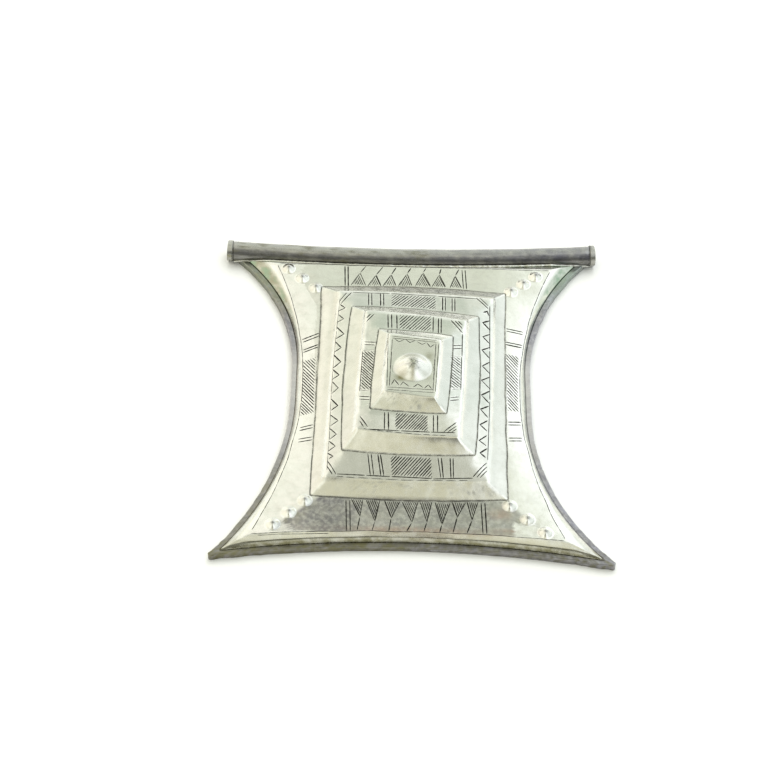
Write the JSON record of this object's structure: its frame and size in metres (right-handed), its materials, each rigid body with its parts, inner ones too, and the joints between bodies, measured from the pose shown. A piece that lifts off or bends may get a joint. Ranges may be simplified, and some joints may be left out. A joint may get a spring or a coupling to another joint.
{
  "type": "amulet pendant",
  "caption": "Hollow sheet-metal amulet pendant with incurved sides, a stepped raised front with a round boss, and a tube along the top for a cord.",
  "frame": {"origin": "middle of the flat back face, on the surface that the pendant lies on", "axes": "+X to the right seen from the front, +Y towards the cord tube (up when worn), +Z out of the front face"},
  "size_m": [0.0958, 0.1012, 0.0159],
  "materials": {
    "front_silver": "worn silver sheet, raised, engraved and tarnished",
    "back_silver": "worn silver sheet, dull",
    "tube_silver": "worn silver sheet, dull and darkened below"
  },
  "bodies": {
    "root": {"front_plate": "front_silver", "back_plate": "back_silver", "cord_tube": "tube_silver"}
  },
  "joints": []
}
